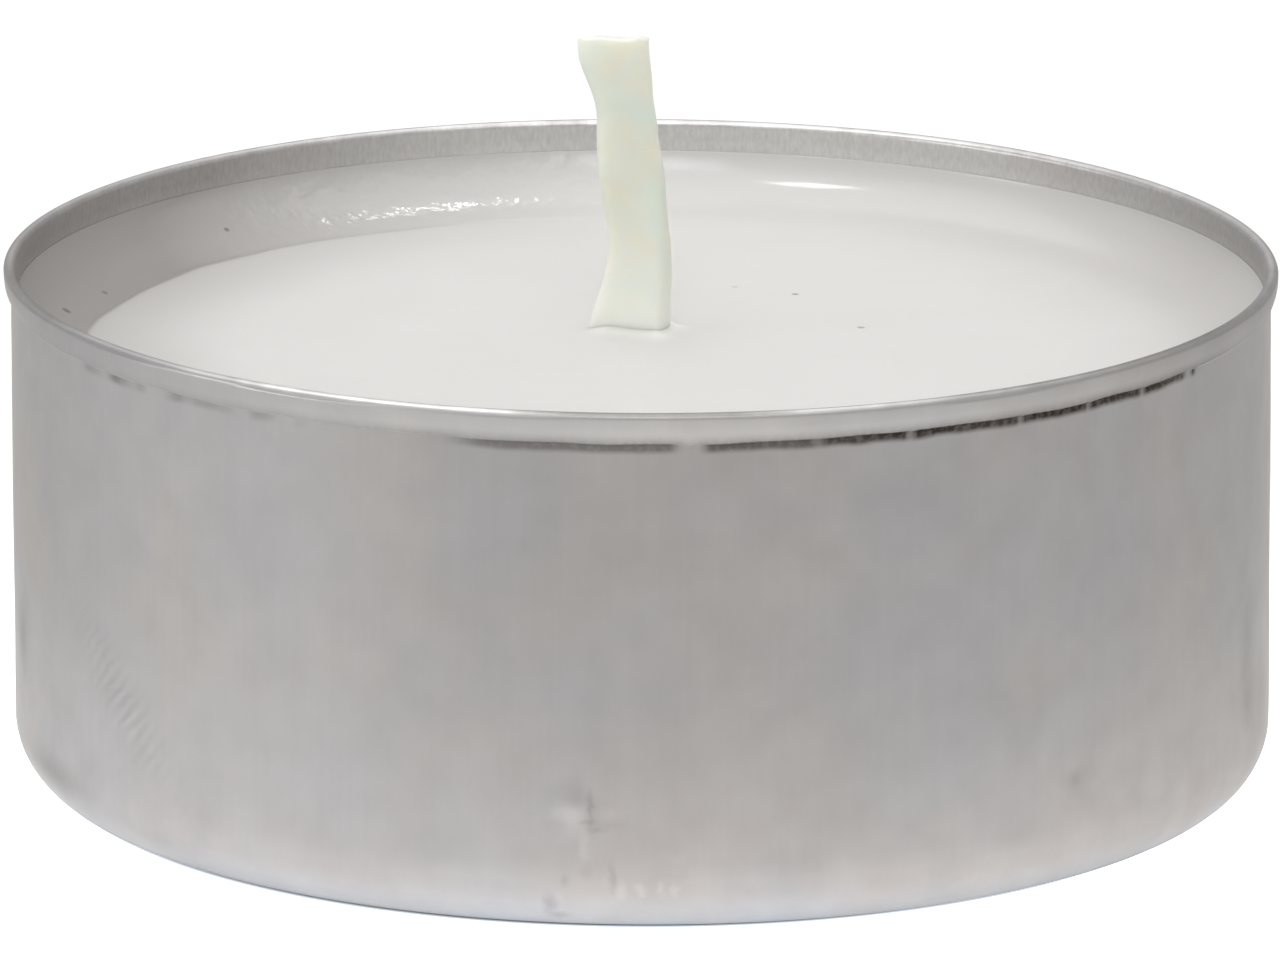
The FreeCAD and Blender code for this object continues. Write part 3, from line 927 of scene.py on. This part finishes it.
def drawn_aluminium():
    material, tree, place = start_material("drawn_aluminium")
    upright = move(tree, "MULTIPLY", place, STREAK_STRETCH)
    stains = noise(tree, place, STAIN_SIZE, 3)
    ripples = slanting_ripples(tree, place)
    tone = with_dent_light_and_shade(tree, place, metal_tone(tree, place, upright, stains))
    # painted shade in the ripples' bands, up to 7 per cent darker
    tone = combine(tree, "MULTIPLY", tone, ramp(tree, ripples, 0.0, 1.0, 1.0, 0.93))
    shaded = add(tree, "VectorMath", {"operation": "SCALE"}, {
        "Vector": metal_colour(tree, place), "Scale": tone,
    })
    ragged = ramp(tree, noise(tree, place, GRAIN_SIZE, 2), 0.3, 0.55, 0.82)
    # painted shade and dirt, both drawn in the same dark brown
    dirt_shade_cover = combine(tree, "MULTIPLY", painted(tree, "soil"), ragged, use_clamp=True)
    metallic = combine(tree, "SUBTRACT", 1.0, dirt_shade_cover)
    relief = bump(tree, noise(tree, upright, LINE_SPACING, 2), 0.006, 0.35)
    relief = bump(tree, ripples, 0.012, Normal=relief)
    end_material(tree, {
        "Base Color": blend(tree, dirt_shade_cover, shaded, "#3B342F"), "Metallic": metallic,
        "Roughness": ramp(tree, stains, 0.3, 0.7, 0.40, 0.46), "Anisotropic": 0.5,
        "Specular IOR Level": combine(tree, "MULTIPLY", metallic, 0.5), "Specular Tint": linear("#D9D9D8"),
        "Normal": relief, "Tangent": add(tree, "Tangent", {"direction_type": "RADIAL", "axis": "Z"}),
    })
    return material


# %% [markdown]
# ## Paraffin wax
# Fully refined paraffin is a translucent solid: light goes a few millimetres into it and comes out again,
# so it looks soft. Its index of refraction is about 1.43. The surface set in the open air, so it is
# satin; the film at the back set last and is glossier, so it gets a clear coat. A film is thin, so light
# can't travel far in it, and it looks darker over the grey metal. A few specks of dust lie in the wax.

# %% Paraffin wax
SCATTER_DEPTH = 1.3
MOTTLE_SIZE = 3.5
PORE_SIZE = 0.5
BEAD_SIZE = 0.55
SPECKS = [  # x, y, radius, strength
    (4.72, 6.77, 0.08, 0.7), (6.69, 2.54, 0.09, 0.6), (2.88, 7.65, 0.08, 0.25),
    (-16.36, 5.32, 0.08, 0.8), (-17.43, 2.45, 0.11, 1.0), (-12.80, 12.36, 0.07, 0.8),
]


def with_specks(tree, place, colour):
    """The wax's colour with each speck darkened."""
    for x, y, size, strength in SPECKS:
        height = float(wax_height(math.hypot(x, y), math.atan2(x, -y)))
        away = add(tree, "VectorMath", {"operation": "DISTANCE"}, {
            "Vector": place, "Vector_001": (x * MM, y * MM, height * MM),
        }, output="Value")
        colour = blend(tree, ramp(tree, away, size * MM, size * 1.6 * MM, strength, 0.0), colour, "#6A5E54")
    return colour


def paraffin_wax():
    material, tree, place = start_material("paraffin_wax")
    milky = blend(tree, noise(tree, place, MOTTLE_SIZE, 3), "#D5D3D1", "#D1CFCC")
    # the painted shade
    colour = blend(tree, painted(tree, "shade"), milky, "#8F8B88")
    # the painted light and reflection round the wick
    colour = blend(tree, painted(tree, "tint"), colour, "#EEF1E6")
    relief = bump(tree, noise(tree, place, PORE_SIZE, 3), 0.02, 0.2)
    beads = combine(tree, "MULTIPLY", noise(tree, place, BEAD_SIZE, 2), painted(tree, "beaded"))
    relief = bump(tree, beads, 0.045, Normal=relief)
    end_material(tree, {
        "Base Color": with_specks(tree, place, colour), "Roughness": 0.42, "IOR": 1.43, "Normal": relief,
        "Coat Weight": painted(tree, "gloss"), "Coat Roughness": 0.12, "Coat IOR": 1.43,
        "Coat Normal": relief,
        "Subsurface Weight": ramp(tree, painted(tree, "film"), 0.0, 1.0, 0.8, 0.1),
        "Subsurface Radius": (1.0, 0.95, 0.88), "Subsurface Scale": SCATTER_DEPTH * MM,
    })
    return material


# %% [markdown]
# ## Waxed cotton
# The braid is bleached cotton soaked in wax. Dry cotton is white and matt, but wax fills it and lets
# light through, so it goes a pale yellow green, like candied peel, with cooler and warmer blotches where
# the strands are packed loosely or tightly. Near the wax and at the cut it is whiter; near the wax this
# is also painted light against the shade at its foot.

# %% Waxed cotton
BLOTCH_SIZE = 1.3
FIBRE_SIZE = 0.12
COTTON_DEPTH = 0.7


def waxed_cotton():
    material, tree, place = start_material("waxed_cotton")
    elsewhere = move(tree, "ADD", place, (0.02, 0.01, 0.03))
    cool_share = ramp(tree, noise(tree, place, BLOTCH_SIZE, 2), 0.45, 0.75)
    warm_share = ramp(tree, noise(tree, elsewhere, BLOTCH_SIZE * 0.8, 2), 0.45, 0.75)
    tinted = blend(tree, cool_share, "#E0E2D6", "#D8E2D9")
    colour = blend(tree, warm_share, tinted, "#E3E0D0")
    end_material(tree, {
        "Base Color": blend(tree, painted(tree, "whitened"), colour, "#EDEEE8"),
        "Roughness": 0.45, "IOR": 1.44, "Normal": bump(tree, noise(tree, place, FIBRE_SIZE, 2), 0.01, 0.2),
        "Subsurface Weight": 0.7, "Subsurface Radius": (1.0, 1.0, 0.7),
        "Subsurface Scale": COTTON_DEPTH * MM,
    })
    return material


# %% [markdown]
# ## Tinned steel
# The tab that grips the wick's foot is thin steel dipped in tin. The wax hides it in a new candle, so it
# keeps its solid from the frame and only gets its metal: pale, satin and a little mottled by the tin.

# %% Tinned steel
SPANGLE_SIZE = 1.0


def tinned_steel():
    material, tree, place = start_material("tinned_steel")
    spangle = noise(tree, place, SPANGLE_SIZE, 3)
    end_material(tree, {
        "Base Color": blend(tree, spangle, "#B9BABA", "#A9A8A5"), "Metallic": 1.0,
        "Roughness": ramp(tree, spangle, 0.0, 1.0, 0.28, 0.42),
    })
    return material


# %% [markdown]
# ## Dress the frame
# Each new mesh gets its material, rides on the frame's one body and stands in for the solid that it was
# modelled over. The steel tab is itself a solid of the frame, so it stands in for nothing.

# %% Give each piece its material and its body, and hide the solid it stands in for
def dress(piece, material, node):
    piece.data.materials.clear()
    piece.data.materials.append(material)
    if piece.name != node:
        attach(piece, "root")
        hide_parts(node)
    print(piece.name, "is made of", material.name, "with", len(material.node_tree.nodes), "nodes")


dress(cup, drawn_aluminium(), "aluminium_cup")
dress(wax, paraffin_wax(), "paraffin_wax")
dress(wick, waxed_cotton(), "wick")
dress(frame["nodes"]["wick_sustainer"], tinned_steel(), "wick_sustainer")

# %% [markdown]
# ## The floor
# A catalogue picture is lit so that the white sweep burns out to paper white while the object keeps its
# tones. Here the board is given painted light: it glows round the candle like a lit sweep, and the wall
# mirrors that as a pale band. Nearest the cup the glow is stronger and cooler, and brightens the base
# corner. Under the cup it is switched off, which leaves a painted line of shadow at the foot.

# %% The floor
FLOOR_REACH = 2.0  # these sizes are in metres
FLOOR_DROP = 0.00002  # a hair under the cup
GLOW = (0.019, 0.041, 0.83, 0.05)  # full until, gone at, strength near, strength far
CORE = (0.0165, 0.0205, 1.0, 0.0)
SHADOW = (0.0171, 0.0177, 0.0, 1.0)
TOOTH_SIZE = 2.0  # millimetres


def white_board():
    material, tree, place = start_material("white_board")
    away = add(tree, "VectorMath", {"operation": "LENGTH"}, {"Vector": place}, "Value")
    # painted light: the board's glow near and under the cup, cut off under it as a painted shadow ring
    around, beneath, gap = (ramp(tree, away, *zone, "SMOOTHSTEP") for zone in (GLOW, CORE, SHADOW))
    lit = combine(tree, "ADD", around, beneath)
    end_material(tree, {
        "Base Color": blend(tree, noise(tree, place, TOOTH_SIZE, 2), "#F4F4F3", "#F2F2F1"),
        "Roughness": 0.9, "Specular IOR Level": 0.2,
        "Emission Color": blend(tree, beneath, "#FFFFFF", "#E0ECF8"),
        "Emission Strength": combine(tree, "MULTIPLY", lit, gap),
    })
    return material


signs = [(-1, -1), (1, -1), (1, 1), (-1, 1)]
floor_corners = [(FLOOR_REACH * x, FLOOR_REACH * y, -FLOOR_DROP) for x, y in signs]
floor_mesh = bpy.data.meshes.new("floor")
floor_mesh.from_pydata(floor_corners, [], [(0, 1, 2, 3)])
floor = bpy.data.objects.new("floor", floor_mesh)
floor.data.materials.append(white_board())
bpy.context.scene.collection.objects.link(floor)
print("floor", 2 * FLOOR_REACH, "m wide")

# %% [markdown]
# ## The light
# The candle stands in a white light tent, so the room itself is the largest lamp. A wide soft box hangs
# over it and a little to the left, and two weak boxes light the front and the left side. Two small lamps
# put the short glints on the film and on the rim. Hidden from diffuse light, they show as reflections
# only.

# %% The lights
ROOM_BRIGHTNESS = 0.685


def soft_box(name, place, aim, size, watts, beam, glint=False):
    """A square lamp at a place, turned to face a point, that the camera itself doesn't see."""
    lamp = bpy.data.lights.new(name, "AREA")
    lamp.shape = "SQUARE"
    lamp.size = size
    lamp.energy = watts
    lamp.spread = math.radians(beam)
    box = bpy.data.objects.new(name, lamp)
    box.location = place
    box.rotation_euler = (box.location - Vector(aim)).to_track_quat("Z", "Y").to_euler()
    box.visible_camera = False
    box.visible_diffuse = not glint
    bpy.context.scene.collection.objects.link(box)
    print(name, watts, "watts,", round(box.location.length, 2), "m away")


soft_box("over", (-0.03, 0.02, 0.24), (0, 0, 0), 0.34, 0.355, 180)
soft_box("front", (0, -0.30, 0.32), (0, 0, 0.01), 0.20, 0.025, 40)
soft_box("side", (-0.30, -0.10, 0.06), (0, 0, 0.01), 0.10, 0.009, 40)
soft_box("glint_left", (0.043, 0.177, 0.256), (0, 0, 0.014), 0.020, 0.030, 180, glint=True)
soft_box("glint_right", (-0.100, -0.045, 0.290), (0, 0, 0.014), 0.045, 0.085, 180, glint=True)

room = bpy.data.worlds.new("room")
room.use_nodes = True
background = room.node_tree.nodes["Background"].inputs
background["Color"].default_value = (1, 1, 1, 1)
background["Strength"].default_value = ROOM_BRIGHTNESS
bpy.context.scene.world = room
bpy.context.scene.view_settings.view_transform = "Standard"
